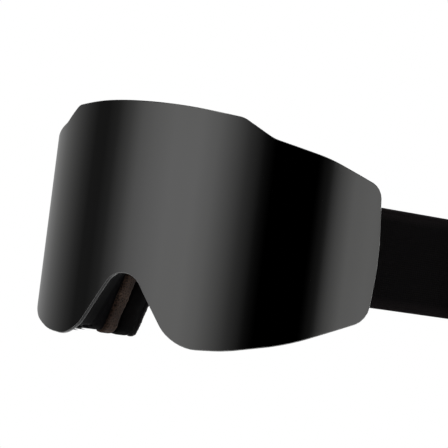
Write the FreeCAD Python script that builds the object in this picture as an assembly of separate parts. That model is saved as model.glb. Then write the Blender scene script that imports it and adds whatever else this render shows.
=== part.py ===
"""Ski goggles: a cylindrical double lens held by magnets on a rigid rim, a soft face frame with layered
foam, two hinged outriggers, and one elastic strap with two sliders.

Units are millimetres. +Z is up, +Y points into the wearer's face and +X is the wearer's left.
The origin is the middle of the face seat: the brow point of the foam, at eye level.
"""
import FreeCAD, Part
import math
import os
from FreeCAD import Base
from FreeCAD import Vector as V

os.makedirs("parts", exist_ok=True)

# ---- driving dimensions -------------------------------------------------------------------------
LENS_RADIUS = 100.0        # outside of the outer lens, a cylinder standing on Z
LENS_HALF_ARC = 110.0      # from the middle to the side edge, measured round the lens
LENS_TOP = 44.5            # crest of the upper edge above eye level
LENS_BOTTOM = 56.0         # cheek lobes below eye level
NOSE_TOP = 27.9            # crown of the nose notch below eye level
GOGGLE_DEPTH = 41.4        # lens front to brow seat

OUTER_LENS_WALL = 1.6
INNER_LENS_WALL = 0.8
LENS_GAP = 3.0             # air gap between the two lenses, set by the spacer foam
SEAT_GAP = 0.3             # running gap between parts that separate
BOND_GAP = 0.3             # gap round a piece that sits inside another
GLUE_LINE = 0.2            # between the rim and the face frame's flange

SIDE_OVERHANG = 8.0        # how much further the lens reaches than its carrier at each side
CARRIER_INSET = 2.0
RING_WIDTH = 7.5           # width of the carrier and the rim
RIM_INSET = 2.6
RIM_WALL = 3.0
FLANGE_INSET = 3.2
FLANGE_WALL = 2.0
SPACER_WIDTH = 3.5

MAGNET_COUNT = 10
MAGNET_RADIUS = 2.5
MAGNET_WALL = 1.4
MAGNET_GLUE = 0.05         # round each magnet in its pocket
PEG_RADIUS = 1.5
PEG_LENGTH = 2.0

FACE_HALF_WIDTH = 70.0     # face frame, wall to middle
FACE_TOP = 38.5
FACE_BOTTOM = 53.0
FRAME_WALL = 2.2
PLATE_WIDTH = 9.0
PLATE_WALL = 2.0
VENT_WIDTH = 11.0
VENT_DEPTH = 4.6
VENT_PITCH = 14.5
TOP_VENT_COUNT = 6
CHEEK_VENT_COUNT = 2
VENT_FOAM_WALL = 1.6

FOAM_PROUD = 1.2           # foam stands out past the frame wall
FOAM_WIDTH = 13.0
BASE_FOAM_DEPTH = 8.0      # open-cell layer on the frame, at the nose
FLEECE_DEPTH = 2.2
FRONT_FOAM_DEPTH = 14.8    # soft layer and fleece together, at the nose
FRAME_REAR_RADIUS = 92.0   # curve of the frame's rear plate, seen from above
BASE_REAR_RADIUS = 95.0
FACE_RADIUS = 110.0        # curve of the seat, seen from above

STRAP_WIDTH = 41.7
STRAP_WALL = 1.4
STRAP_MID_Z = -8.6
STRAP_FLARE = 4.0          # degrees, how far each side leans out as it runs back
STRAP_RISE = 2.7           # degrees, how far the strap climbs behind the leads
STRAP_SIDE_LENGTH = 112.0  # straight stretch from the outrigger bar
STRAP_BACK_Y = 190.0
STRAP_CORNER_TURN = 55.0   # degrees turned by the tighter of the two arcs at the back
LEAD_LENGTH = 58.0         # doubled stretch that leaves the outrigger
LEAD_GAP = 0.6             # from the end of the lead to what lies behind it, at the tightest
GRIP_WIDTH = 3.0
GRIP_WALL = 0.5
GRIP_COUNT = 3
GRIP_PITCH = 11.0

PIN_RADIUS = 1.0
PIN_CLEARANCE = 0.03
KNUCKLE_RADIUS = 2.4
EAR_HEIGHT = 3.0
HINGE_CLEARANCE = 0.3
HINGE_ANGLE = 59.0         # degrees round the lens from the middle
BAR_REACH_X = 1.9          # from the hinge pin out to the strap bar
BAR_REACH_Y = 5.9          # from the hinge pin back to the strap bar
BAR_HALF_WALL = 0.8
BAR_HALF_WIDTH = 1.4
LAYER_GAP = 0.15           # between a strap layer and the bar it wraps
SLOT_CLEARANCE = 0.4       # above and below the strap
YOKE_WALL = 2.2            # arms above and below the strap slot

SLIDER_LENGTH = 16.0
SLIDER_WALL = 1.4
SLIDER_BAR_WIDTH = 3.0
SLIDER_CHEEK = 2.8         # blocks above and below the strap
SLIDER_FRONT_GAP = 0.5     # from the band's start to the slider
SLIDER_BAR_GAP = 0.25      # between the strap and the slider's bars
TAIL_HEM_GAP = 1.0         # from the band's start to the cut end of the sewn hem

# ---- places worked out from them ----------------------------------------------------------------
AXIS_Y = LENS_RADIUS - GOGGLE_DEPTH
POCKET_RADIUS = MAGNET_RADIUS + MAGNET_GLUE
LENS_BACK = LENS_RADIUS - OUTER_LENS_WALL
INNER_LENS_FRONT = LENS_BACK - LENS_GAP
CARRIER_BACK = INNER_LENS_FRONT - INNER_LENS_WALL
RIM_FRONT = CARRIER_BACK - SEAT_GAP
RIM_BACK = RIM_FRONT - RIM_WALL
FLANGE_FRONT = RIM_BACK - GLUE_LINE
FLANGE_BACK = FLANGE_FRONT - FLANGE_WALL
BASE_REAR_Y = -FRONT_FOAM_DEPTH
FRAME_REAR_Y = BASE_REAR_Y - BASE_FOAM_DEPTH
HINGE_R = RIM_FRONT - KNUCKLE_RADIUS           # knuckles flush with the rim's front
HINGE_X = HINGE_R * math.sin(math.radians(HINGE_ANGLE))
HINGE_Y = AXIS_Y - HINGE_R * math.cos(math.radians(HINGE_ANGLE))
BAR_X = HINGE_X + BAR_REACH_X
BAR_Y = HINGE_Y + BAR_REACH_Y
STRAP_LOW = STRAP_MID_Z - STRAP_WIDTH / 2
LAYER_OUT = BAR_HALF_WALL + LAYER_GAP          # inner face of the outside layer, from the bar's middle
LAYER_TOP = LAYER_OUT + STRAP_WALL
YOKE_LOW = STRAP_LOW - SLOT_CLEARANCE - YOKE_WALL
YOKE_HEIGHT = STRAP_WIDTH + 2 * (SLOT_CLEARANCE + YOKE_WALL)
REAR_START = LEAD_LENGTH + LEAD_GAP + STRAP_WIDTH / 2 * math.sin(math.radians(STRAP_RISE))
SLIDER_START = REAR_START + SLIDER_FRONT_GAP
SLIDER_MID = SLIDER_START + SLIDER_LENGTH / 2
DEEP = 200.0               # longer than anything that it cuts
MIRROR_X = V(1, 0, 0)


# ---- outlines -----------------------------------------------------------------------------------
def rounded_corner(before, corner, after):
    """Start, middle and end of the arc that rounds a corner; each argument is (x, y, radius)."""
    point = V(corner[0], corner[1], 0)
    back = (V(before[0], before[1], 0) - point).normalize()
    on = (V(after[0], after[1], 0) - point).normalize()
    half_angle = back.getAngle(on) / 2
    bisector = (back + on).normalize()
    centre = point + bisector * (corner[2] / math.sin(half_angle))
    reach = corner[2] / math.tan(half_angle)
    return point + back * reach, centre - bisector * corner[2], point + on * reach


def rounded_outline(half):
    """Closed wire in the XY plane from the right half's corners (x, y, radius), mirrored to the left."""
    whole = half + [(-x, y, r) for x, y, r in reversed(half) if x > 0]
    count = len(whole)
    arcs = [rounded_corner(whole[i - 1], whole[i], whole[(i + 1) % count]) for i in range(count)]
    joins = [(arcs[i][2], arcs[(i + 1) % count][0]) for i in range(count)]
    return Part.Wire(path_edges([run for pair in zip(arcs, joins) for run in pair]))


def rounded_path(corners):
    """Straight runs and arcs of an open path through corners (x, y, radius)."""
    inner = range(1, len(corners) - 1)
    arcs = [rounded_corner(corners[i - 1], corners[i], corners[i + 1]) for i in inner]
    place, path = V(corners[0][0], corners[0][1], 0), []
    for arc in arcs:
        path += [(place, arc[0]), arc]
        place = arc[2]
    path.append((place, V(corners[-1][0], corners[-1][1], 0)))
    return [run for run in path if run[0].distanceToPoint(run[-1]) > 1e-6]


def path_edges(path):
    """Edges of a path of straight runs (2 points) and arcs (3 points)."""
    return [(Part.LineSegment if len(run) == 2 else Part.Arc)(*run).toShape() for run in path]


def lens_outline(inset=0.0, side=0.0):
    """The lens's shape unrolled flat: x runs round the lens and y is height.

    side takes length off both ends, and inset then draws the whole outline in.
    """
    end = LENS_HALF_ARC - side
    half = [
        (0.0, LENS_TOP + 1.5, 300.0),
        (46.5, LENS_TOP - 3.2, 8.0),
        (60.0, LENS_TOP - 10.4, 14.0),
        (84.0, LENS_TOP - 15.6, 60.0),
        (end - 2.4, LENS_TOP - 24.7 + 0.39 * side, 7.0),
        (end + 0.3, -9.0, 120.0),
        (end - 1.8, 21.0 - LENS_BOTTOM - 0.42 * side, 9.0),
        (75.0, 6.7 - LENS_BOTTOM, 90.0),
        (50.0, 1.0 - LENS_BOTTOM, 60.0),
        (27.4, -0.5 - LENS_BOTTOM, 20.0),
        (5.7, -NOSE_TOP, 9.5),
    ]
    wire = rounded_outline(half)
    return wire.makeOffset2D(-inset) if inset else wire


def face_outline(inset=0.0):
    """The face frame's wall seen from the front: x is across and y is height."""
    wide = FACE_HALF_WIDTH
    half = [
        (0.0, FACE_TOP + 0.8, 180.0),
        (24.0, FACE_TOP - 1.6, 25.0),
        (wide - 18.0, FACE_TOP - 9.3, 60.0),
        (wide, FACE_TOP - 17.0, 12.0),
        (wide + 0.3, -9.0, 200.0),
        (wide, 18.0 - FACE_BOTTOM, 13.0),
        (wide - 20.0, 7.6 - FACE_BOTTOM, 60.0),
        (27.2, -0.6 - FACE_BOTTOM, 4.0),
        (12.4, -NOSE_TOP + 6.6, 9.0),
    ]
    wire = rounded_outline(half)
    return wire.makeOffset2D(-inset) if inset else wire


# ---- building blocks ----------------------------------------------------------------------------
def wrapped(radius, wall, outline):
    """A piece of a standing cylinder shell, its edges cut square to the surface."""
    surface = Part.Cylinder()
    surface.Radius = radius
    surface.Center = V(0, AXIS_Y, 0)
    edges = []
    for edge in outline.OrderedEdges:
        samples = 2 if edge.Curve.TypeId == "Part::GeomLine" else 9
        points = edge.discretize(Number=samples)
        if edge.Orientation == "Reversed":
            points.reverse()
        curve = Part.Geom2d.BSplineCurve2d()
        turn = 1.5 * math.pi
        curve.interpolate([Base.Vector2d(p.x / LENS_RADIUS + turn, p.y) for p in points])
        edges.append(curve.toShape(surface))
    face = Part.Face(surface, Part.Wire(edges))
    face.validate()
    return face.makeOffsetShape(-wall, 1e-3, fill=True)


def wrapped_ring(radius, wall, outside, inside):
    """A shell ring between two unrolled outlines."""
    spare = 1.0
    return wrapped(radius, wall, outside).cut(wrapped(radius + spare, wall + 2 * spare, inside))


def prism(outline, start, end):
    """A front-view outline made solid from y = start to y = end."""
    face = Part.Face(outline)
    face.rotate(V(0, 0, 0), V(1, 0, 0), 90)
    face.translate(V(0, start, 0))
    return face.extrude(V(0, end - start, 0))


def upright(radius, x, y, low, height):
    """A round post standing on Z."""
    return Part.makeCylinder(radius, height, V(x, y, low))


def behind(front_y, radius):
    """Everything behind a face-shaped surface that crosses the middle at front_y."""
    return upright(radius, 0, front_y + radius, -DEEP, 2 * DEEP)


def inside_lens(radius):
    """Everything inside a cylinder on the lens's own axis."""
    return upright(radius, 0, AXIS_Y, -DEEP, 2 * DEEP)


def block(x0, x1, y0, y1, z0, z1):
    return Part.makeBox(x1 - x0, y1 - y0, z1 - z0, V(x0, y0, z0))


def lengthways(shape):
    """The edges that stand on Z."""
    return [e for e in shape.Edges if abs(e.tangentAt(e.FirstParameter).z) > 0.9]


def radial_disc(arc, z, outer, wall, radius):
    """A disc whose axis points at the lens's axis, its outer face at radius outer."""
    angle = arc / LENS_RADIUS
    out = V(math.sin(angle), -math.cos(angle), 0)
    return Part.makeCylinder(radius, wall, V(0, AXIS_Y, z) + out * outer, -out)


def foam_layer(front_y, front_radius, rear_y, rear_radius):
    """A ring of the foam pad between two face-shaped surfaces."""
    end = rear_y + rear_radius
    ring = prism(face_outline(-FOAM_PROUD), -DEEP, end)
    ring = ring.cut(prism(face_outline(FOAM_WIDTH - FOAM_PROUD), -DEEP, end))
    ring = ring.common(behind(front_y, front_radius))
    return ring.cut(behind(rear_y, rear_radius))


def on_strap(shape):
    """Puts a shape drawn in strap coordinates (x out, y back from the bar) on the wearer's left side."""
    placed = shape.copy()
    placed.rotate(V(0, 0, 0), V(0, 0, 1), -STRAP_FLARE)
    placed.translate(V(BAR_X, BAR_Y, 0))
    return placed


def risen(shape):
    """Tilts what lies behind the leads, so that the strap climbs towards the back of the head."""
    placed = shape.copy()
    pivot_y = BAR_Y + LEAD_LENGTH * math.cos(math.radians(STRAP_FLARE))
    placed.rotate(V(0, pivot_y, STRAP_MID_Z), V(1, 0, 0), STRAP_RISE)
    return placed


def mirrored(shape):
    """The same piece for the wearer's right side."""
    return shape.mirror(V(0, 0, 0), MIRROR_X)


def pushed(path, wall):
    """A path moved to its right by wall."""
    out = []
    for run in path:
        if len(run) == 2:
            along = (run[1] - run[0]).normalize()
            shift = V(along.y, -along.x, 0) * wall
            out.append(tuple(p + shift for p in run))
            continue
        arc = Part.Circle(*run)
        turn = (run[1] - run[0]).cross(run[2] - run[1]).z
        scale = 1 + math.copysign(1 / arc.Radius, turn) * wall
        out.append(tuple(arc.Center + (p - arc.Center) * scale for p in run))
    return out


def band(path, wall, low, height):
    """A ribbon standing on Z: one face follows the path and the wall lies to the path's right."""
    far = pushed(path, wall)
    ends = [Part.LineSegment(path[i][i], far[i][i]).toShape() for i in (-1, 0)]
    face = Part.Face(Part.Wire(Part.__sortEdges__(path_edges(path) + path_edges(far) + ends)))
    face.translate(V(0, 0, low))
    return face.extrude(V(0, 0, height))


def save(name, shape):
    """Writes one node and says how big it is."""
    solids = shape.Solids
    good = all(s.isValid() and s.Volume > 0 for s in solids)
    out = solids[0] if len(solids) == 1 else Part.makeCompound(solids)
    out.exportStep(f"parts/{name}.step")
    print(f"{name:24s} solids {len(solids):2d}  {'ok ' if good else 'BAD'}  {shape.Volume:10.1f} mm3")


# ---- lens module --------------------------------------------------------------------------------
def magnet_places():
    """Spots round the middle of the rim, evenly spaced along it, in unrolled coordinates."""
    line = lens_outline(RIM_INSET + RING_WIDTH / 2, SIDE_OVERHANG)
    spots = line.discretize(Number=2 * MAGNET_COUNT + 1)
    return [(p.x, p.y) for p in spots[1::2]]


def peg_places():
    """Locating pegs, one each side, on the ring's line at strap height."""
    reach = LENS_HALF_ARC - SIDE_OVERHANG - RIM_INSET - RING_WIDTH / 2
    return [(reach, STRAP_MID_Z), (-reach, STRAP_MID_Z)]


def make_outer_lens():
    return wrapped(LENS_RADIUS, OUTER_LENS_WALL, lens_outline())


def make_inner_lens():
    outline = lens_outline(CARRIER_INSET + RING_WIDTH + BOND_GAP, SIDE_OVERHANG)
    return wrapped(INNER_LENS_FRONT, INNER_LENS_WALL, outline)


def make_lens_spacer():
    outer = CARRIER_INSET + RING_WIDTH + BOND_GAP
    outside = lens_outline(outer, SIDE_OVERHANG)
    inside = lens_outline(outer + SPACER_WIDTH, SIDE_OVERHANG)
    return wrapped_ring(LENS_BACK, LENS_GAP, outside, inside)


def make_lens_carrier():
    outside = lens_outline(CARRIER_INSET, SIDE_OVERHANG)
    inside = lens_outline(CARRIER_INSET + RING_WIDTH, SIDE_OVERHANG)
    ring = wrapped_ring(LENS_BACK, LENS_BACK - CARRIER_BACK, outside, inside)
    for arc, z in magnet_places():
        ring = ring.cut(radial_disc(arc, z, CARRIER_BACK + MAGNET_WALL, MAGNET_WALL + 1.0, POCKET_RADIUS))
    for arc, z in peg_places():
        ring = ring.fuse(lens_peg(arc, z, PEG_RADIUS, PEG_LENGTH))
    return ring


def lens_peg(arc, z, radius, length):
    """A peg along Y, the way the lens pulls off, standing out of the carrier's back."""
    angle = arc / LENS_RADIUS
    middle = (CARRIER_BACK + LENS_BACK) / 2
    start = V(middle * math.sin(angle), AXIS_Y - middle * math.cos(angle), z)
    root = (middle - CARRIER_BACK) / math.cos(angle)
    return Part.makeCylinder(radius, root + length, start, V(0, 1, 0))


def make_lens_magnets():
    outer = CARRIER_BACK + MAGNET_WALL
    discs = [radial_disc(arc, z, outer, MAGNET_WALL, MAGNET_RADIUS) for arc, z in magnet_places()]
    return Part.makeCompound(discs)


# ---- rim and face frame -------------------------------------------------------------------------
def hinge_ear(low):
    """A lug from the rim's end to the hinge pin."""
    rim_end = (LENS_HALF_ARC - SIDE_OVERHANG - RIM_INSET) / LENS_RADIUS
    root = V(HINGE_R * math.sin(rim_end), AXIS_Y - HINGE_R * math.cos(rim_end), low)
    pin = V(HINGE_X, HINGE_Y, low)
    along = (pin - root).normalize()
    root = root - along * RIM_WALL
    across = V(-along.y, along.x, 0) * KNUCKLE_RADIUS
    corners = [root + across, root - across, pin - across, pin + across]
    lug = Part.Face(Part.makePolygon(corners + corners[:1]))
    lug = lug.extrude(V(0, 0, EAR_HEIGHT)).common(inside_lens(RIM_FRONT))
    return lug.fuse(upright(KNUCKLE_RADIUS, HINGE_X, HINGE_Y, low, EAR_HEIGHT))


def hinge_ear_lows():
    """Undersides of the lower and the upper ear."""
    return [YOKE_LOW - HINGE_CLEARANCE - EAR_HEIGHT, YOKE_LOW + YOKE_HEIGHT + HINGE_CLEARANCE]


def ear_notch(low):
    """Room for a hinge ear in the edge of the face frame's flange."""
    box = hinge_ear(low).BoundBox
    x0, x1 = box.XMin - BOND_GAP, box.XMax + BOND_GAP
    y0, y1 = box.YMin - BOND_GAP, box.YMax + BOND_GAP
    return block(x0, x1, y0, y1, box.ZMin - BOND_GAP, box.ZMax + BOND_GAP)


def make_frame_rim():
    outside = lens_outline(RIM_INSET, SIDE_OVERHANG)
    inside = lens_outline(RIM_INSET + RING_WIDTH, SIDE_OVERHANG)
    rim = wrapped_ring(RIM_FRONT, RIM_WALL, outside, inside)
    ears = [hinge_ear(low) for low in hinge_ear_lows()]
    bore = upright(PIN_RADIUS, HINGE_X, HINGE_Y, -DEEP, 2 * DEEP)
    for ear in ears:
        ear = ear.cut(bore)
        rim = rim.fuse(ear).fuse(mirrored(ear))
    for arc, z in magnet_places():
        rim = rim.cut(radial_disc(arc, z, RIM_FRONT + 1.0, MAGNET_WALL + 1.0, POCKET_RADIUS))
    for arc, z in peg_places():
        rim = rim.cut(lens_peg(arc, z, PEG_RADIUS + SEAT_GAP, PEG_LENGTH + SEAT_GAP))
    return rim.removeSplitter()


def make_frame_magnets():
    discs = [radial_disc(a, z, RIM_FRONT, MAGNET_WALL, MAGNET_RADIUS) for a, z in magnet_places()]
    return Part.makeCompound(discs)


def vent_windows():
    """Cutters for the vents through the top and the cheek walls."""
    cuts = []
    for i in range(TOP_VENT_COUNT):
        x = (i - (TOP_VENT_COUNT - 1) / 2) * VENT_PITCH
        cuts.append(vent_cutter(x, 0.0, DEEP))
    for side in (-1, 1):
        for i in range(CHEEK_VENT_COUNT):
            cuts.append(vent_cutter(side * (41.0 + i * VENT_PITCH), -DEEP, 0.0))
    return cuts


def vent_cutter(x, low, high):
    """One slot, midway between the flange and the rear plate."""
    flange = AXIS_Y - math.sqrt(FLANGE_BACK**2 - x**2)
    plate = FRAME_REAR_Y - PLATE_WALL + FRAME_REAR_RADIUS - math.sqrt(FRAME_REAR_RADIUS**2 - x**2)
    middle = (flange + plate) / 2
    half = VENT_WIDTH / 2
    return block(x - half, x + half, middle - VENT_DEPTH / 2, middle + VENT_DEPTH / 2, low, high)


def make_face_frame():
    flange = wrapped(FLANGE_FRONT, FLANGE_WALL, lens_outline(FLANGE_INSET, SIDE_OVERHANG))
    flange = flange.cut(prism(face_outline(FRAME_WALL), -DEEP, DEEP))
    for low in hinge_ear_lows():
        notch = ear_notch(low)
        flange = flange.cut(notch).cut(mirrored(notch))
    whole = prism(face_outline(), -DEEP, FRAME_REAR_Y + FRAME_REAR_RADIUS).common(inside_lens(FLANGE_FRONT))
    whole = whole.cut(behind(FRAME_REAR_Y, FRAME_REAR_RADIUS))
    wall = whole.cut(prism(face_outline(FRAME_WALL), -DEEP, DEEP))
    plate = whole.common(behind(FRAME_REAR_Y - PLATE_WALL, FRAME_REAR_RADIUS))
    plate = plate.cut(prism(face_outline(PLATE_WIDTH), -DEEP, DEEP))
    for window in vent_windows():
        wall = wall.cut(window)
    return flange.fuse(wall).fuse(plate).removeSplitter()


def make_vent_foam(x0, x1, z0, z1):
    """A strip of mesh foam that lines the vents from the inside."""
    outer = FRAME_WALL + BOND_GAP / 2
    end = FRAME_REAR_Y + FRAME_REAR_RADIUS
    strip = prism(face_outline(outer), -DEEP, end)
    strip = strip.cut(prism(face_outline(outer + VENT_FOAM_WALL), -DEEP, end))
    strip = strip.common(inside_lens(FLANGE_BACK - BOND_GAP / 2))
    strip = strip.cut(behind(FRAME_REAR_Y - PLATE_WALL - BOND_GAP / 2, FRAME_REAR_RADIUS))
    return strip.common(block(x0, x1, -DEEP, DEEP, z0, z1))


# ---- outrigger ----------------------------------------------------------------------------------
def make_outrigger():
    """Link between the rim's hinge and the strap: a barrel, two arms and the bar that the strap wraps."""
    barrel = upright(KNUCKLE_RADIUS, HINGE_X, HINGE_Y, YOKE_LOW, YOKE_HEIGHT)
    yoke_top = YOKE_LOW + YOKE_HEIGHT
    bar = block(-BAR_HALF_WALL, BAR_HALF_WALL, -BAR_HALF_WIDTH, BAR_HALF_WIDTH, YOKE_LOW, yoke_top)
    bar = bar.makeFillet(BAR_HALF_WALL * 0.75, lengthways(bar))
    whole = barrel.fuse(on_strap(bar))
    for low in (YOKE_LOW, yoke_top - YOKE_WALL):
        whole = whole.fuse(outrigger_arm(low))
    return whole.cut(upright(PIN_RADIUS + PIN_CLEARANCE, HINGE_X, HINGE_Y, -DEEP, 2 * DEEP)).removeSplitter()


def outrigger_arm(low):
    """A flat arm from the barrel to the bar."""
    pin = V(HINGE_X, HINGE_Y, low)
    bar = V(BAR_X, BAR_Y, low)
    along = (bar - pin).normalize()
    across = V(-along.y, along.x, 0) * BAR_HALF_WIDTH
    corners = [pin + across, pin - across, bar - across, bar + across]
    arm = Part.Face(Part.makePolygon(corners + corners[:1]))
    arm = arm.extrude(V(0, 0, YOKE_WALL))
    return arm.fuse(upright(BAR_HALF_WIDTH, BAR_X, BAR_Y, low, YOKE_WALL))


def make_outrigger_pin():
    low, high = hinge_ear_lows()
    return upright(PIN_RADIUS, HINGE_X, HINGE_Y, low, high + EAR_HEIGHT - low)


# ---- strap --------------------------------------------------------------------------------------
def make_strap_lead():
    """The doubled stretch: out of the slider, round the outrigger's bar and back."""
    wrap = BAR_HALF_WIDTH + LAYER_GAP
    under = LAYER_OUT - LAYER_GAP * 2                 # the inner layer lies close under the outer one
    path = rounded_path([
        (under, LEAD_LENGTH, 0),
        (under, LEAD_LENGTH / 3, 8.0),
        (-LAYER_OUT, wrap, 8.0),
        (-LAYER_OUT, -wrap, LAYER_OUT),
        (LAYER_OUT, -wrap, LAYER_OUT),
        (LAYER_OUT, LEAD_LENGTH, 0),
    ])
    return on_strap(band(path, STRAP_WALL, STRAP_LOW, STRAP_WIDTH))


def strap_path(from_length):
    """The strap's inner face, from a place on the left side round the back to the right."""
    flare = math.radians(STRAP_FLARE)
    along = V(math.sin(flare), math.cos(flare), 0)
    base = V(BAR_X, BAR_Y, 0) + V(along.y, -along.x, 0) * LAYER_OUT
    start, end = base + along * from_length, base + along * STRAP_SIDE_LENGTH
    left = [(start, end)] + strap_back_arcs(end, flare)
    right = [tuple(V(-p.x, p.y, 0) for p in reversed(run)) for run in reversed(left)]
    return left + right


def strap_back_arcs(start, flare):
    """Two tangent arcs from the end of the straight stretch to the middle of the back."""
    mid_turn = flare - math.radians(STRAP_CORNER_TURN)

    def chord(a, b):
        """Where an arc of unit radius ends when its heading turns from a to b."""
        return V(math.cos(b) - math.cos(a), math.sin(a) - math.sin(b), 0)

    first, second = chord(flare, mid_turn), chord(mid_turn, -math.pi / 2)
    gap = V(-start.x, STRAP_BACK_Y - start.y, 0)
    det = first.cross(second).z
    corner, back = gap.cross(second).z / det, first.cross(gap).z / det
    join = start + first * corner
    return [
        (start, start + chord(flare, (flare + mid_turn) / 2) * corner, join),
        (join, join + chord(mid_turn, (mid_turn - math.pi / 2) / 2) * back, V(0, STRAP_BACK_Y, 0)),
    ]


def make_strap_band():
    return risen(band(strap_path(REAR_START), STRAP_WALL, STRAP_LOW, STRAP_WIDTH))


def make_grip_lines():
    """Silicone beads along the inside of the strap, round the back of the head."""
    inner = pushed(strap_path(STRAP_SIDE_LENGTH - 1.0), -GRIP_WALL)
    beads = []
    for i in range(GRIP_COUNT):
        z = STRAP_MID_Z + (i - (GRIP_COUNT - 1) / 2) * GRIP_PITCH - GRIP_WIDTH / 2
        beads.append(band(inner, GRIP_WALL, z, GRIP_WIDTH))
    return risen(Part.makeCompound(beads))


# ---- slider -------------------------------------------------------------------------------------
TAIL_OUT = LAYER_OUT - LAYER_GAP * 2                   # outer face of the tail, close under the strap
TAIL_BAR_OUT = TAIL_OUT - STRAP_WALL - LAYER_GAP       # outer face of the slider's middle bar


def make_slider():
    """Three-bar slider: two bars over the strap, and a middle bar under it that holds the sewn tail."""
    low = STRAP_LOW - SLOT_CLEARANCE - SLIDER_CHEEK
    high = STRAP_LOW + STRAP_WIDTH + SLOT_CLEARANCE + SLIDER_CHEEK
    over = LAYER_TOP + SLIDER_BAR_GAP
    inner = TAIL_BAR_OUT - SLIDER_WALL
    body = block(inner, over + SLIDER_WALL, SLIDER_START, SLIDER_START + SLIDER_LENGTH, low, high)
    body = body.makeFillet(0.9, [e for e in body.Edges if abs(e.tangentAt(e.FirstParameter).x) < 0.1])
    room_low, room_high = low + SLIDER_CHEEK, high - SLIDER_CHEEK
    body = body.cut(block(-DEEP, over, -DEEP, DEEP, room_low, room_high))
    window = (SLIDER_LENGTH - 2 * SLIDER_BAR_WIDTH) / 2
    body = body.cut(block(0, DEEP, SLIDER_MID - window, SLIDER_MID + window, room_low, room_high))
    half = SLIDER_BAR_WIDTH / 2
    middle = block(inner, TAIL_BAR_OUT, SLIDER_MID - half, SLIDER_MID + half, room_low - 1.0, room_high + 1.0)
    middle = middle.makeFillet(SLIDER_WALL * 0.45, lengthways(middle))
    return risen(on_strap(body.fuse(middle).removeSplitter()))


def make_strap_tail():
    """The strap's sewn end: a hem folded round the slider's middle bar."""
    wrap = SLIDER_MID + SLIDER_BAR_WIDTH / 2 + LAYER_GAP
    near = TAIL_OUT - STRAP_WALL
    far = TAIL_BAR_OUT - SLIDER_WALL - LAYER_GAP
    turn = (near - far) / 2
    path = rounded_path([
        (far, REAR_START + TAIL_HEM_GAP, 0),
        (far, wrap, turn * 0.98),
        (near, wrap, turn * 0.98),
        (near, REAR_START, 0),
    ])
    return risen(on_strap(band(path, -STRAP_WALL, STRAP_LOW, STRAP_WIDTH)))


# ---- the whole object ---------------------------------------------------------------------------
def main():
    save("outer_lens", make_outer_lens())
    save("inner_lens", make_inner_lens())
    save("lens_spacer_foam", make_lens_spacer())
    save("lens_carrier", make_lens_carrier())
    save("lens_magnets", make_lens_magnets())

    save("frame_rim", make_frame_rim())
    save("frame_magnets", make_frame_magnets())
    save("face_frame", make_face_frame())
    reach = (TOP_VENT_COUNT * VENT_PITCH) / 2
    save("top_vent_foam", make_vent_foam(-reach, reach, 0, DEEP))
    cheek = make_vent_foam(33.0, 63.0, -DEEP, -20.0)
    save("left_vent_foam", cheek)
    save("right_vent_foam", mirrored(cheek))

    fleece_y = -FLEECE_DEPTH
    save("foam_base", foam_layer(FRAME_REAR_Y, FRAME_REAR_RADIUS, BASE_REAR_Y, BASE_REAR_RADIUS))
    save("foam_cushion", foam_layer(BASE_REAR_Y, BASE_REAR_RADIUS, fleece_y, FACE_RADIUS))
    save("foam_fleece", foam_layer(fleece_y, FACE_RADIUS, 0.0, FACE_RADIUS))

    pieces = {
        "outrigger": make_outrigger(),
        "outrigger_pin": make_outrigger_pin(),
        "strap_lead": make_strap_lead(),
        "strap_tail": make_strap_tail(),
        "slider": make_slider(),
    }
    for name, piece in pieces.items():
        save("left_" + name, piece)
        save("right_" + name, mirrored(piece))
    save("strap_band", make_strap_band())
    save("strap_grip_lines", make_grip_lines())
    print(f"hinge pin x {HINGE_X:.2f} y {HINGE_Y:.2f}, bar x {BAR_X:.2f} y {BAR_Y:.2f}")


main()
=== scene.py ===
"""Looks of the ski goggles: mirrored cylindrical lens, magnetic frame, layered foam and knitted strap."""

import math

import bmesh
import bpy
from mathutils import Matrix, Vector, noise


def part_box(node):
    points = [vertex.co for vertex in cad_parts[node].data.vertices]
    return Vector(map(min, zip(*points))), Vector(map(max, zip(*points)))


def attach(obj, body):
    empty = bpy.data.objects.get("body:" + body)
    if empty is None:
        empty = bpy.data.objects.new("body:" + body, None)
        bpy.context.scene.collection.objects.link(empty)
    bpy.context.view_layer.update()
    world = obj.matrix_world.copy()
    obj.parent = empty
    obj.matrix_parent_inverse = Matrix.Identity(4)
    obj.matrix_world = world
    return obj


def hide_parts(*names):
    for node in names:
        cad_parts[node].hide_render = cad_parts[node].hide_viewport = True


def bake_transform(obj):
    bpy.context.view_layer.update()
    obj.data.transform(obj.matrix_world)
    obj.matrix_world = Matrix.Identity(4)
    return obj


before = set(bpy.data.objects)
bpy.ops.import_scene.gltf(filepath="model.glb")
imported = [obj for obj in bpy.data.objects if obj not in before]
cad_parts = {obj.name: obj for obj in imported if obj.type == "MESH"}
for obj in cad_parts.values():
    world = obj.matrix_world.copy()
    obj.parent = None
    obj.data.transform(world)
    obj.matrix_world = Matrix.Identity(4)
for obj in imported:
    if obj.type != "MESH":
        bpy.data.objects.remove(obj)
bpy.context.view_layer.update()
MM = 0.001

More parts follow.
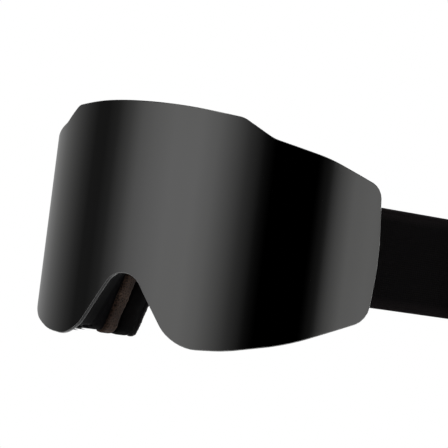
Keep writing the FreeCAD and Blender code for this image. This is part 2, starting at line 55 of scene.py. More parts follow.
# ---- sizes in millimetres, the same as the part's --------------------------------------------------
LENS_RADIUS = 100.0
LENS_WALL = 1.6
LENS_HALF_ARC = 110.0
LENS_TOP = 44.5
LENS_BOTTOM = 56.0
NOSE_TOP = 27.9
SIDE_OVERHANG = 8.0
INNER_LENS_INSET = 9.8
INNER_LENS_RADIUS = 95.4
INNER_LENS_WALL = 0.8
STRAP_WIDTH = 41.7
STRAP_WALL = 1.4
STRAP_MID_Z = -8.6
STRAP_FLARE = math.radians(4.0)
STRAP_RISE = math.radians(2.7)
STRAP_SIDE_LENGTH = 112.0
STRAP_BACK_Y = 190.0
STRAP_CORNER_TURN = math.radians(55.0)
LEAD_LENGTH = 58.0
LEAD_GAP = 0.6                     # between a lead's end and the rising band
SLIDER_GAP = 0.5
SLIDER_HALF_LENGTH = 8.0
BAR_END_RADIUS = 1.4               # round end of the outrigger's arms, about the strap bar
OUTER_CLEARANCE = 0.95             # from the bar's middle to the strap's outer layer
UNDER_CLEARANCE = 0.65             # from the bar's middle to the layer under it
GRIP_WIDTH = 3.0
GRIP_WALL = 0.5
GRIP_PITCH = 11.0

REAR_START = LEAD_LENGTH + LEAD_GAP + STRAP_WIDTH / 2 * math.sin(STRAP_RISE)
SLIDER_MID = REAR_START + SLIDER_GAP + SLIDER_HALF_LENGTH
LAYER_MID = OUTER_CLEARANCE + STRAP_WALL / 2
UNDER_MID = UNDER_CLEARANCE - STRAP_WALL / 2
AXIS_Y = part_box("outer_lens")[0].y / MM + LENS_RADIUS
BAR_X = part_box("left_outrigger")[1].x / MM - BAR_END_RADIUS
BAR_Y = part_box("left_outrigger")[1].y / MM - BAR_END_RADIUS

# ---- how finely and how softly the pieces are made, in millimetres ---------------------------------
SHEET_STEP = 2.0                   # between the upright cuts that let a lens sheet bend
SHEET_ROWS = range(-54, 44, 6)     # heights of its level cuts
CORNER_STEP = 1.2                  # along a rounded corner of a lens sheet
BAND_STEP = 2.5                    # between the strap band's sections
LEAD_STEP = 2.0                    # between a lead's or tail's sections
BEND_STEP = math.radians(9)        # the most that one step turns
RISE_EASE = 5.0                    # half the run over which the strap starts to rise
LEAD_TURN_Y = -0.6                 # where a lead starts round the bar
LEAD_STRAIGHT = 3.0                # a lead's under layer: straight behind the bar,
LEAD_ARC = 8.0                     # an arc towards the outer layer,
LEAD_ARC_TURN = 0.133
LEAD_SLOPE = 4.0                   # a slope, and the same arc back,
LEAD_DIP = 22.9                    # which together reach this far along the strap
HEM_RADIUS = 1.55                  # the hem's turn round the slider's bar
HEM_PAST = 0.8                     # from the slider's middle to the start of that turn
HEM_SHORT = 0.2                    # by which the hem's end stays short of it
STITCH_ROWS = (2.6, 3.8)           # from the start of the tail
STITCHES = 17
STITCH_PITCH = 2.35
STITCH_SIZE = (0.22, 0.22, 0.95)   # half a stitch each way
CUSHION_GLUE_RADIUS = 95.0         # arcs that the glue lines of the cushion and the fleece follow
FLEECE_GLUE_RADIUS = 110.0
CUSHION_GLUE_DEPTH = 2.0           # behind the cushion's front
FLEECE_GLUE_Y = -1.4
CLOTH_SCALE = 10.0                 # foam swells at ten times life size, where cloth is stable
CLOTH_FRAMES = 14
LUMPS = 180.0                      # foam's unevenness, to the metre: broad lumps, about 6 mm wide,
FINE_LUMPS = 520.0                 # and finer ones, about 2 mm wide
FINE_LUMP_SHARE = 0.6
SEAM_MERGE = 0.002                 # points of a CAD mesh that are this near are one point


# ---- materials --------------------------------------------------------------------------------------
def colour(hex_code):
    """An sRGB hex colour as linear red, green, blue and alpha."""
    parts = [int(hex_code[i:i + 2], 16) / 255 for i in (1, 3, 5)]
    return tuple(p / 12.92 if p <= 0.04045 else ((p + 0.055) / 1.055) ** 2.4 for p in parts) + (1.0,)


def shades(*stops):
    """A colour ramp's stops from (position, hex colour) pairs."""
    return [(place, colour(code)) for place, code in stops]


def every(size_mm):
    """A pattern's scale, in repeats to the metre, from its real size."""
    return 1.0 / (size_mm * MM)


def add(tree, kind, links=(), values=(), stops=(), feeds=None, **settings):
    """A node with its settings, its plain input values and the sockets that feed its inputs.

    stops are a colour ramp's (position, colour) pairs. feeds is an input that takes the node's first output.
    """
    made = tree.nodes.new(kind)
    for name, value in settings.items():
        setattr(made, name, value)
    for name, value in dict(values).items():
        made.inputs[name].default_value = value
    for name, socket in dict(links).items():
        tree.links.new(socket, made.inputs[name])
    if stops:
        elements = made.color_ramp.elements
        elements[0].position, elements[0].color = stops[0]
        elements[1].position, elements[1].color = stops[-1]
        for place, shade in stops[1:-1]:
            elements.new(place).color = shade
    if feeds is not None:
        tree.links.new(made.outputs[0], feeds)
    return made


def new_material(name, **values):
    """A material, its node tree and its Principled shader's sockets, on which the values go."""
    made = bpy.data.materials.new(name)
    made.use_nodes = True
    tree = made.node_tree
    shader = tree.nodes["Principled BSDF"]
    for key, value in values.items():
        shader.inputs[key.replace("_", " ")].default_value = value
    return made, tree, shader.inputs


def smoked_mirror_lens():
    """Polycarbonate with a dark vapour-deposited mirror: a very smooth, dim, neutral reflection."""
    made, tree, shader = new_material("smoked_mirror_lens", Metallic=1.0)
    place = add(tree, "ShaderNodeTexCoord").outputs["Object"]
    smear = add(tree, "ShaderNodeTexNoise", {"Vector": place}, {"Scale": every(110.0), "Detail": 3.0})
    add(tree, "ShaderNodeValToRGB", {"Fac": smear.outputs["Fac"]},
        stops=shades((0.3, "#878785"), (0.7, "#8b8b8b")), feeds=shader["Base Color"])
    add(tree, "ShaderNodeMapRange", {"Value": smear.outputs["Fac"]}, {"To Min": 0.028, "To Max": 0.042},
        feeds=shader["Roughness"])
    return made


def tinted_lens_body():
    """The lens's own smoke-tinted polycarbonate, which shows at its cut edge and from behind."""
    made, tree, shader = new_material("tinted_lens_body", IOR=1.585, Specular_IOR_Level=0.2)
    place = add(tree, "ShaderNodeTexCoord").outputs["Object"]
    flow = add(tree, "ShaderNodeTexNoise", {"Vector": place}, {"Scale": every(40.0), "Detail": 3.0})
    add(tree, "ShaderNodeValToRGB", {"Fac": flow.outputs["Fac"]},
        stops=shades((0.3, "#070708"), (0.7, "#0a0a0b")), feeds=shader["Base Color"])
    add(tree, "ShaderNodeMapRange", {"Value": flow.outputs["Fac"]}, {"To Min": 0.1, "To Max": 0.18},
        feeds=shader["Roughness"])
    return made


def clear_inner_lens():
    """Clear cellulose propionate with an anti-fog coat, seen through from behind."""
    made, tree, shader = new_material("clear_inner_lens", IOR=1.48, Transmission_Weight=1.0)
    place = add(tree, "ShaderNodeTexCoord").outputs["Object"]
    film = add(tree, "ShaderNodeTexNoise", {"Vector": place}, {"Scale": every(25.0), "Detail": 2.0})
    add(tree, "ShaderNodeValToRGB", {"Fac": film.outputs["Fac"]},
        stops=shades((0.3, "#c9cdd0"), (0.7, "#d4d7d9")), feeds=shader["Base Color"])
    add(tree, "ShaderNodeMapRange", {"Value": film.outputs["Fac"]}, {"To Min": 0.02, "To Max": 0.05},
        feeds=shader["Roughness"])
    return made


def moulded(name, low, high, rough, grain_mm, depth_mm):
    """Injection-moulded plastic: an even fine spark-eroded grain and slight flow clouds about 17 mm wide."""
    made, tree, shader = new_material(name, IOR=1.5, Specular_IOR_Level=0.03)
    place = add(tree, "ShaderNodeTexCoord").outputs["Object"]
    cloud = add(tree, "ShaderNodeTexNoise", {"Vector": place}, {"Scale": every(17.0), "Detail": 4.0})
    add(tree, "ShaderNodeValToRGB", {"Fac": cloud.outputs["Fac"]}, stops=shades((0.35, low), (0.65, high)),
        feeds=shader["Base Color"])
    add(tree, "ShaderNodeMapRange", {"Value": cloud.outputs["Fac"]},
        {"To Min": rough - 0.04, "To Max": rough + 0.06}, feeds=shader["Roughness"])
    grain = add(tree, "ShaderNodeTexNoise", {"Vector": place}, {"Scale": every(grain_mm), "Detail": 2.0})
    add(tree, "ShaderNodeBump", {"Height": grain.outputs["Fac"]},
        {"Strength": 0.35, "Distance": depth_mm * MM}, feeds=shader["Normal"])
    return made


def open_cell_foam():
    """Coarse reticulated polyurethane: brown-grey strands round pores darkened with painted shade.

    The pores are drawn 1.05 mm wide, about twice their real size, so that they show.
    """
    made, tree, shader = new_material("open_cell_foam", IOR=1.45, Roughness=0.9, Specular_IOR_Level=0.1,
                                      Sheen_Weight=0.03, Sheen_Roughness=0.6)
    place = add(tree, "ShaderNodeTexCoord").outputs["Object"]
    wander = add(tree, "ShaderNodeTexNoise", {"Vector": place}, {"Scale": every(3.3), "Detail": 2.0})
    uneven = add(tree, "ShaderNodeMixRGB", {"Color1": place, "Color2": wander.outputs["Color"]},
                 {"Fac": 0.002})
    cells = add(tree, "ShaderNodeTexVoronoi", {"Vector": uneven.outputs["Color"]}, {"Scale": every(1.05)},
                feature="DISTANCE_TO_EDGE")
    patch = add(tree, "ShaderNodeTexNoise", {"Vector": place}, {"Scale": every(8.3), "Detail": 3.0})
    # lighter strands at the cell edges, with painted shade darkening the pores towards the cell middles,
    # where the bump sinks them
    struts_and_pore_shade = add(tree, "ShaderNodeValToRGB", {"Fac": cells.outputs["Distance"]},
                 stops=shades((0.02, "#4b3a2f"), (0.12, "#2b211c"), (0.4, "#0b0705")))
    tone = add(tree, "ShaderNodeValToRGB", {"Fac": patch.outputs["Fac"]},
               stops=shades((0.3, "#b0a49c"), (0.7, "#ffffff")))
    add(tree, "ShaderNodeMixRGB", {"Color1": struts_and_pore_shade.outputs["Color"], "Color2": tone.outputs["Color"]},
        {"Fac": 1.0}, feeds=shader["Base Color"], blend_type="MULTIPLY")
    add(tree, "ShaderNodeBump", {"Height": cells.outputs["Distance"]},
        {"Strength": 0.9, "Distance": -0.5 * MM}, feeds=shader["Normal"])
    return made


def fine_foam(name, low, high, cell_mm):
    """Fine-celled black foam: matt, with a soft mottle about 11 mm wide and tiny pits."""
    made, tree, shader = new_material(name, IOR=1.4, Roughness=0.95, Specular_IOR_Level=0.03,
                                      Sheen_Weight=0.01, Sheen_Roughness=0.5)
    place = add(tree, "ShaderNodeTexCoord").outputs["Object"]
    mottle = add(tree, "ShaderNodeTexNoise", {"Vector": place}, {"Scale": every(11.0), "Detail": 5.0})
    add(tree, "ShaderNodeValToRGB", {"Fac": mottle.outputs["Fac"]}, stops=shades((0.3, low), (0.7, high)),
        feeds=shader["Base Color"])
    pits = add(tree, "ShaderNodeTexVoronoi", {"Vector": place}, {"Scale": every(cell_mm)})
    add(tree, "ShaderNodeBump", {"Height": pits.outputs["Distance"]},
        {"Strength": 0.7, "Distance": cell_mm * 0.4 * MM}, feeds=shader["Normal"])
    return made


def micro_fleece():
    """Brushed polyester fleece: a short nap in 1.4 mm tufts that catches light at its edges."""
    made, tree, shader = new_material("micro_fleece", IOR=1.4, Roughness=1.0, Specular_IOR_Level=0.1,
                                      Sheen_Weight=0.12, Sheen_Roughness=0.45)
    place = add(tree, "ShaderNodeTexCoord").outputs["Object"]
    tufts = add(tree, "ShaderNodeTexNoise", {"Vector": place},
                {"Scale": every(1.4), "Detail": 6.0, "Roughness": 0.75})
    drift = add(tree, "ShaderNodeTexNoise", {"Vector": place}, {"Scale": every(14.0), "Detail": 3.0})
    nap = add(tree, "ShaderNodeMath", {0: tufts.outputs["Fac"], 1: drift.outputs["Fac"]},
              operation="MULTIPLY")
    add(tree, "ShaderNodeValToRGB", {"Fac": nap.outputs["Value"]},
        stops=shades((0.12, "#0d0c0d"), (0.4, "#232122")), feeds=shader["Base Color"])
    add(tree, "ShaderNodeBump", {"Height": tufts.outputs["Fac"]}, {"Strength": 0.9, "Distance": 0.5 * MM},
        feeds=shader["Normal"])
    return made


def knitted_webbing():
    """Knitted elastic: close ribs along the strap and crossing yarns, with painted shade in the hollows
    between them and lighter crests, and a bound selvedge at each edge.

    The UV map holds metres: U along the strap and V up it. Ribs are drawn 0.9 mm apart and yarns 1.3 mm, a
    little coarser than the real 0.6 and 0.9 so that they show.
    """
    made, tree, shader = new_material("knitted_webbing", IOR=1.45, Roughness=0.9, Specular_IOR_Level=0.04,
                                      Sheen_Weight=0.014, Sheen_Roughness=0.4)
    place = add(tree, "ShaderNodeUVMap").outputs["UV"]
    axes = add(tree, "ShaderNodeSeparateXYZ", {"Vector": place})
    rib_turn = add(tree, "ShaderNodeMath", {0: axes.outputs["Y"]}, {1: math.tau * every(0.9)},
                   operation="MULTIPLY")
    rib = add(tree, "ShaderNodeMath", {0: rib_turn.outputs["Value"]}, operation="SINE")
    yarn_turn = add(tree, "ShaderNodeMath", {0: axes.outputs["X"]}, {1: math.tau * every(1.3)},
                    operation="MULTIPLY")
    slip = add(tree, "ShaderNodeMath", {0: rib.outputs["Value"], 2: yarn_turn.outputs["Value"]}, {1: 1.2},
               operation="MULTIPLY_ADD")
    yarn = add(tree, "ShaderNodeMath", {0: slip.outputs["Value"]}, operation="SINE")
    knit = add(tree, "ShaderNodeMath", {0: rib.outputs["Value"], 1: yarn.outputs["Value"]}, operation="ADD")
    level = add(tree, "ShaderNodeMapRange", {"Value": knit.outputs["Value"]},
                {"From Min": -2.0, "From Max": 2.0})
    fuzz = add(tree, "ShaderNodeTexNoise", {"Vector": place}, {"Scale": every(1.1), "Detail": 4.0})
    # the knit's colour follows its bump height: painted shade in the hollows between ribs and yarns, lighter
    # on the crests
    body = add(tree, "ShaderNodeValToRGB", {"Fac": level.outputs["Result"]},
               stops=shades((0.0, "#020101"), (0.6, "#070506"), (1.0, "#0f0c0d")))
    tone = add(tree, "ShaderNodeValToRGB", {"Fac": fuzz.outputs["Fac"]},
               stops=shades((0.3, "#a0a0a0"), (0.7, "#ffffff")))
    cloth = add(tree, "ShaderNodeMixRGB", {"Color1": body.outputs["Color"], "Color2": tone.outputs["Color"]},
                {"Fac": 1.0}, blend_type="MULTIPLY")
    reach = add(tree, "ShaderNodeMath", {0: axes.outputs["Y"]}, operation="ABSOLUTE")
    selvedge_starts, selvedge_full = (STRAP_WIDTH / 2 - 1.6) * MM, (STRAP_WIDTH / 2 - 1.3) * MM
    edge = add(tree, "ShaderNodeValToRGB", {"Fac": reach.outputs["Value"]},
               stops=shades((selvedge_starts, "#000000"), (selvedge_full, "#ffffff")))
    add(tree, "ShaderNodeMixRGB", {"Fac": edge.outputs["Color"], "Color1": cloth.outputs["Color"]},
        {"Color2": colour("#161213")}, feeds=shader["Base Color"])
    add(tree, "ShaderNodeBump", {"Height": level.outputs["Result"]}, {"Strength": 0.6, "Distance": 0.12 * MM},
        feeds=shader["Normal"])
    return made


def stitching_thread():
    """Twisted polyester sewing thread, a shade greyer than the strap; a turn of the twist is 0.35 mm, drawn
    in lighter ridges and darker grooves of painted shade.
    """
    made, tree, shader = new_material("stitching_thread", Roughness=0.6, Sheen_Weight=0.2)
    place = add(tree, "ShaderNodeTexCoord").outputs["Object"]
    waves_to_a_turn = math.tau / 20
    twist = add(tree, "ShaderNodeTexWave", {"Vector": place},
                {"Scale": every(0.35) * waves_to_a_turn, "Distortion": 1.0}, bands_direction="DIAGONAL")
    # the colour follows the twist's bump: painted shade in the grooves between plies, lighter on the ridges
    add(tree, "ShaderNodeValToRGB", {"Fac": twist.outputs["Fac"]},
        stops=shades((0.2, "#1d1b1b"), (0.8, "#373434")), feeds=shader["Base Color"])
    add(tree, "ShaderNodeBump", {"Height": twist.outputs["Fac"]}, {"Strength": 0.5, "Distance": 0.05 * MM},
        feeds=shader["Normal"])
    return made


def silicone_grip():
    """Printed silicone: semi-gloss, softly uneven beads."""
    made, tree, shader = new_material("silicone_grip", IOR=1.41, Roughness=0.38)
    place = add(tree, "ShaderNodeTexCoord").outputs["Object"]
    sag = add(tree, "ShaderNodeTexNoise", {"Vector": place}, {"Scale": every(4.0), "Detail": 2.0})
    add(tree, "ShaderNodeValToRGB", {"Fac": sag.outputs["Fac"]},
        stops=shades((0.3, "#1a1a1b"), (0.7, "#262627")), feeds=shader["Base Color"])
    add(tree, "ShaderNodeBump", {"Height": sag.outputs["Fac"]}, {"Strength": 0.5, "Distance": 0.15 * MM},
        feeds=shader["Normal"])
    return made


def nickel_plate():
    """Bright nickel plating on sintered magnets: a warm metal with faint tumbling marks."""
    made, tree, shader = new_material("nickel_plate", Metallic=1.0)
    place = add(tree, "ShaderNodeTexCoord").outputs["Object"]
    marks = add(tree, "ShaderNodeTexNoise", {"Vector": place}, {"Scale": every(1.7), "Detail": 4.0})
    add(tree, "ShaderNodeValToRGB", {"Fac": marks.outputs["Fac"]},
        stops=shades((0.3, "#b9b2a6"), (0.7, "#cdc7bd")), feeds=shader["Base Color"])
    add(tree, "ShaderNodeMapRange", {"Value": marks.outputs["Fac"]}, {"To Min": 0.18, "To Max": 0.36},
        feeds=shader["Roughness"])
    return made


def drawn_steel_pin():
    """Cold-drawn stainless pin: fine lines along its length, 0.25 mm apart and fifty times as long."""
    made, tree, shader = new_material("drawn_steel_pin", Metallic=1.0)
    place = add(tree, "ShaderNodeTexCoord").outputs["Object"]
    along = add(tree, "ShaderNodeMapping", {"Vector": place}, {"Scale": (1.0, 1.0, 0.02)})
    lines = add(tree, "ShaderNodeTexNoise", {"Vector": along.outputs["Vector"]},
                {"Scale": every(0.25), "Detail": 3.0})
    add(tree, "ShaderNodeValToRGB", {"Fac": lines.outputs["Fac"]},
        stops=shades((0.3, "#8d8d8e"), (0.7, "#b0b0b1")), feeds=shader["Base Color"])
    add(tree, "ShaderNodeMapRange", {"Value": lines.outputs["Fac"]}, {"To Min": 0.22, "To Max": 0.4},
        feeds=shader["Roughness"])
    return made


MIRROR = smoked_mirror_lens()
TINTED = tinted_lens_body()
CLEAR = clear_inner_lens()
NYLON = moulded("glass_filled_nylon", "#060606", "#0a0a0b", rough=0.5, grain_mm=0.35, depth_mm=0.04)
RIM_NYLON = moulded("rim_nylon", "#030304", "#070708", rough=0.58, grain_mm=0.4, depth_mm=0.05)
TPU = moulded("soft_touch_urethane", "#020203", "#050405", rough=0.78, grain_mm=0.3, depth_mm=0.04)
ACETAL = moulded("moulded_acetal", "#0e0e0f", "#151516", rough=0.3, grain_mm=0.5, depth_mm=0.02)
OPEN_FOAM = open_cell_foam()
SOFT_FOAM = fine_foam("soft_face_foam", "#020202", "#050404", cell_mm=0.35)
EVA = fine_foam("eva_spacer_foam", "#0d0d0d", "#151515", cell_mm=0.3)
VENT_FOAM = fine_foam("reticulated_vent_foam", "#060606", "#242424", cell_mm=0.8)
FLEECE = micro_fleece()
WEBBING = knitted_webbing()
THREAD = stitching_thread()
SILICONE = silicone_grip()
NICKEL = nickel_plate()
STEEL = drawn_steel_pin()


# ---- making pieces ----------------------------------------------------------------------------------
def finished(bm, name, material, slot, body, *nodes):
    """Turns a bmesh into a piece that wears a material, rides on a body and stands for CAD nodes."""
    mesh = bpy.data.meshes.new(name)
    bm.to_mesh(mesh)
    bm.free()
    mesh.materials.append(material)
    piece = bpy.data.objects.new(name, mesh)
    bpy.context.scene.collection.objects.link(piece)
    mesh.polygons.foreach_set("use_smooth", [True] * len(mesh.polygons))
    if nodes:
        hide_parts(*nodes)
    if body:
        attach(piece, body)
    return piece


def merged_copy(node):
    """A CAD node's mesh with its loose triangles joined up."""
    bm = bmesh.new()
    bm.from_mesh(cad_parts[node].data)
    bmesh.ops.remove_doubles(bm, verts=bm.verts, dist=SEAM_MERGE * MM)
    return bm


def eased(node, name, material, slot, body, ease_mm):
    """A hard moulding with its edges broken, as they leave the mould."""
    bm = merged_copy(node)
    bmesh.ops.dissolve_limit(bm, angle_limit=math.radians(0.4), verts=bm.verts, edges=bm.edges)
    piece = finished(bm, name, material, slot, body, node)
    bevel = piece.modifiers.new("broken_edges", "BEVEL")
    bevel.limit_method = "ANGLE"
    bevel.angle_limit = math.radians(35)
    bevel.width = ease_mm * MM
    bevel.segments = 2
    normals = piece.modifiers.new("even_shading", "WEIGHTED_NORMAL")
    normals.keep_sharp = True


def settle(piece):
    """Applies a piece's modifiers to its mesh."""
    shown = piece.evaluated_get(bpy.context.evaluated_depsgraph_get())
    mesh = bpy.data.meshes.new_from_object(shown)
    piece.modifiers.clear()
    piece.data = mesh


def glue_line(start_y, radius, reach):
    """A test for points, in metres, in front of a glue line that curves back to both sides from start_y.

    reach is how far out it is still curved.
    """
    def holds(point):
        """Whether a point is in front of the glue line."""
        across = min(abs(point.x), reach * MM)
        return point.y < start_y + (radius * MM - math.sqrt((radius * MM) ** 2 - across ** 2))
    return holds


def swell(piece, glued, cap_mm):
    """Foam pushes out of its skin: a short cloth simulation under pressure, capped at cap_mm.

    glued tells which points are bonded to the piece in front and stay where they are.
    """
    rest = [v.co.copy() for v in piece.data.vertices]
    held = piece.vertex_groups.new(name="glued")
    held.add([i for i, co in enumerate(rest) if glued(co)], 1.0, "REPLACE")
    piece.data.transform(Matrix.Scale(CLOTH_SCALE, 4))
    cloth = piece.modifiers.new("swelling", "CLOTH")
    cloth.settings.quality = 4
    cloth.settings.mass = 0.3
    cloth.settings.tension_stiffness = 20
    cloth.settings.compression_stiffness = 20
    cloth.settings.bending_stiffness = 8
    cloth.settings.use_pressure = True
    cloth.settings.uniform_pressure_force = 3.0
    cloth.settings.vertex_group_mass = "glued"
    cloth.settings.effector_weights.gravity = 0.0
    cloth.point_cache.frame_start = 1
    cloth.point_cache.frame_end = CLOTH_FRAMES
    for step in range(1, CLOTH_FRAMES + 1):
        bpy.context.scene.frame_set(step)
    settle(piece)
    bpy.context.scene.frame_set(1)
    piece.data.transform(Matrix.Scale(1 / CLOTH_SCALE, 4))
    piece.vertex_groups.clear()
    for vertex, start in zip(piece.data.vertices, rest):
        move = vertex.co - start
        if move.length > cap_mm * MM:
            move.length = cap_mm * MM
        vertex.co = start + move


def soft(node, name, material, slot, body, voxel_mm, rounding, rough_mm, glued=None, swell_mm=0.0):
    """A foam piece: its CAD solid rounded over, swollen where nothing holds it, and faintly uneven."""
    piece = finished(merged_copy(node), name, material, slot, None, node)
    remesh = piece.modifiers.new("even_mesh", "REMESH")
    remesh.mode = "VOXEL"
    remesh.voxel_size = voxel_mm * MM
    settle(piece)
    bm = bmesh.new()
    bm.from_mesh(piece.data)
    for _ in range(rounding):
        bmesh.ops.smooth_vert(bm, verts=bm.verts, factor=0.5,
                              use_axis_x=True, use_axis_y=True, use_axis_z=True)
    bm.to_mesh(piece.data)
    bm.free()
    if glued:
        swell(piece, glued, swell_mm)
    outward = [vertex.normal.copy() for vertex in piece.data.vertices]
    for vertex, normal in zip(piece.data.vertices, outward):
        lump = noise.noise(vertex.co * LUMPS) + FINE_LUMP_SHARE * noise.noise(vertex.co * FINE_LUMPS)
        vertex.co += normal * (lump * rough_mm * MM)
    piece.data.materials.clear()
    piece.data.materials.append(material)
    piece.data.polygons.foreach_set("use_smooth", [True] * len(piece.data.polygons))
    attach(piece, body)


# ---- lens -------------------------------------------------------------------------------------------
def corner_reach(before, corner, after):
    """How far along its two edges a corner (x, z, radius) is rounded."""
    here = Vector(corner[:2])
    angle = (Vector(before[:2]) - here).angle(Vector(after[:2]) - here)
    return corner[2] / math.tan(angle / 2)


def rounded_blank(half, thickness):
    """A flat blank in the XZ plane: its right half's corners mirrored, rounded and thickened towards +Y."""
    corners = half + [(-x, z, r) for x, z, r in reversed(half) if x > 0]
    bm = bmesh.new()
    points = [bm.verts.new((x * MM, 0, z * MM)) for x, z, r in corners]
    bm.faces.new(points)
    for i, point in enumerate(points):
        reach = corner_reach(corners[i - 1], corners[i], corners[(i + 1) % len(corners)])
        steps = max(4, int(reach / CORNER_STEP))
        bmesh.ops.bevel(bm, geom=[point], offset=reach * MM, offset_type="OFFSET", segments=steps,
                        profile=0.5, affect="VERTICES", material=-1)
    grown = bmesh.ops.extrude_face_region(bm, geom=bm.faces[:])
    bmesh.ops.translate(bm, verts=[g for g in grown["geom"] if isinstance(g, bmesh.types.BMVert)],
                        vec=(0, thickness * MM, 0))
    bmesh.ops.recalc_face_normals(bm, faces=bm.faces)
    return bm


def lens_corners(inset=0.0, side=0.0):
    """The right half of the unrolled lens outline as (x, z, radius), drawn in by inset.

    side takes length off both ends first, as for the pieces that the lens overhangs.
    """
    end = LENS_HALF_ARC - side
    half = [
        (0.0, LENS_TOP + 1.5, 300.0),
        (46.5, LENS_TOP - 3.2, 8.0),
        (60.0, LENS_TOP - 10.4, 14.0),
        (84.0, LENS_TOP - 15.6, 60.0),
        (end - 2.4, LENS_TOP - 24.7 + 0.39 * side, 7.0),
        (end + 0.3, -9.0, 120.0),
        (end - 1.8, 21.0 - LENS_BOTTOM - 0.42 * side, 9.0),
        (75.0, 6.7 - LENS_BOTTOM, 90.0),
        (50.0, 1.0 - LENS_BOTTOM, 60.0),
        (27.4, -0.5 - LENS_BOTTOM, 20.0),
        (5.7, -NOSE_TOP, 9.5),
    ]
    if not inset:
        return half
    mirrored = [(-x, z, r) for x, z, r in half]
    drawn = []
    for i, (x, z, radius) in enumerate(half):
        before = half[i - 1] if i else mirrored[1]
        after = half[i + 1] if i + 1 < len(half) else mirrored[-1]
        here = Vector((x, z))
        into = (here - Vector(before[:2])).normalized()
        out = (Vector(after[:2]) - here).normalized()
        inward = Vector((into.y, -into.x)) + Vector((out.y, -out.x))
        half_turn = into.angle(out) / 2
        moved = here + inward.normalized() * inset / math.cos(half_turn)
        bend = into.x * out.y - into.y * out.x
        drawn.append((moved.x, moved.y, max(radius + math.copysign(inset, bend), 0.6)))
    return drawn


def bent_sheet(corners, front_radius, wall, ease_mm):
    """A lens blank with eased edges, bent round the goggles' cylinder. Its front faces get material 0."""
    bm = rounded_blank(corners, wall)
    rims = [e for e in bm.edges if any(abs(f.normal.y) > 0.9 for f in e.link_faces)]
    bmesh.ops.bevel(bm, geom=rims, offset=ease_mm * MM, offset_type="OFFSET", segments=3, profile=0.5,
                    affect="EDGES", material=-1)
    columns = int(LENS_HALF_ARC / SHEET_STEP)
    cuts = [((i * SHEET_STEP * MM, 0, 0), (1, 0, 0)) for i in range(-columns, columns + 1)]
    cuts += [((0, 0, z * MM), (0, 0, 1)) for z in SHEET_ROWS]
    for place, normal in cuts:
        bmesh.ops.bisect_plane(bm, geom=bm.verts[:] + bm.edges[:] + bm.faces[:], dist=1e-7, plane_co=place,
                               plane_no=normal)
    bm.normal_update()
    for face in bm.faces:
        face.material_index = 0 if face.normal.y < -0.95 else 1
    for vertex in bm.verts:
        turn = vertex.co.x / (LENS_RADIUS * MM)
        radius = front_radius * MM - vertex.co.y
        vertex.co.x = radius * math.sin(turn)
        vertex.co.y = AXIS_Y * MM - radius * math.cos(turn)
    return bm


def lens_sheet(bm, name, front, body, slot, node):
    """A bent sheet as a piece with its own front and body materials."""
    piece = finished(bm, name, front, slot, "lens", node)
    piece.data.materials.append(body)
    normals = piece.modifiers.new("even_shading", "WEIGHTED_NORMAL")
    normals.weight = 90


# ---- strap ------------------------------------------------------------------------------------------
def walk(start, heading, runs, step_mm):
    """Stations along a flat path: (x, y, heading, distance) in millimetres, with heading 0 along +Y.

    runs are (length, turn): a straight stretch turns by 0 and an arc by its angle, positive to the right.
    """
    x, y, done = start[0], start[1], 0.0
    stations = [(x, y, heading, done)]
    for length, turn in runs:
        count = max(1, math.ceil(length / step_mm), math.ceil(abs(turn) / BEND_STEP))
        for _ in range(count):
            half = turn / count / 2
            chord = length / count * (math.sin(half) / half if half else 1.0)
            x += chord * math.sin(heading + half)
            y += chord * math.cos(heading + half)
            heading += turn / count
            done += length / count
            stations.append((x, y, heading, done))
    return stations


def beside_bar(station):
    """From the strap's own coordinates, measured from the left outrigger's bar, to the frame's."""
    x, y, heading, done = station
    c, s = math.cos(STRAP_FLARE), math.sin(STRAP_FLARE)
    return BAR_X + x * c + y * s, BAR_Y - x * s + y * c, heading + STRAP_FLARE, done


def climb(y):
    """How far the strap has risen at y, easing in behind the leads."""
    past = y - (BAR_Y + REAR_START * math.cos(STRAP_FLARE))
    if past < -RISE_EASE:
        return 0.0
    if past < RISE_EASE:
        return math.tan(STRAP_RISE) * (past + RISE_EASE) ** 2 / (4 * RISE_EASE)
    return math.tan(STRAP_RISE) * past


def section_place(station):
    """Where a strap section stands at a station: its X to the right of the path, its Z up."""
    x, y, heading, done = station
    right = Vector((math.cos(heading), -math.sin(heading), 0))
    ahead = Vector((math.sin(heading), math.cos(heading), 0))
    place = Matrix((right, ahead, Vector((0, 0, 1)))).transposed().to_4x4()
    place.translation = Vector((x, y, climb(y))) * MM
    return place


def ribbon(stations, section):
    """Draws a closed section of (offset to the right, height) along stations, with a UV map in metres."""
    bm = bmesh.new()
    along = bm.verts.layers.float.new("along")
    up = bm.verts.layers.float.new("up")
    ring = [bm.verts.new((n * MM, 0, z * MM)) for n, z in section]
    face = bm.faces.new(ring)
    for vertex, (n, z) in zip(ring, section):
        vertex[up] = (z - STRAP_MID_Z) * MM
        vertex[along] = stations[0][3] * MM
    here = section_place(stations[0])
    bmesh.ops.transform(bm, matrix=here, verts=ring)
    for step, station in enumerate(stations[1:]):
        grown = bmesh.ops.extrude_face_region(bm, geom=[face])
        verts = [g for g in grown["geom"] if isinstance(g, bmesh.types.BMVert)]
        there = section_place(station)
        bmesh.ops.transform(bm, matrix=there @ here.inverted(), verts=verts)
        for vertex in verts:
            vertex[along] = station[3] * MM
        if step:                       # the first face closes the start, and the rest would be inside
            bm.faces.remove(face)
        face = [g for g in grown["geom"] if isinstance(g, bmesh.types.BMFace)][0]
        here = there
    bmesh.ops.recalc_face_normals(bm, faces=bm.faces)
    uv = bm.loops.layers.uv.new("UVMap")
    for f in bm.faces:
        for loop in f.loops:
            loop[uv].uv = (loop.vert[along], loop.vert[up])
    return bm


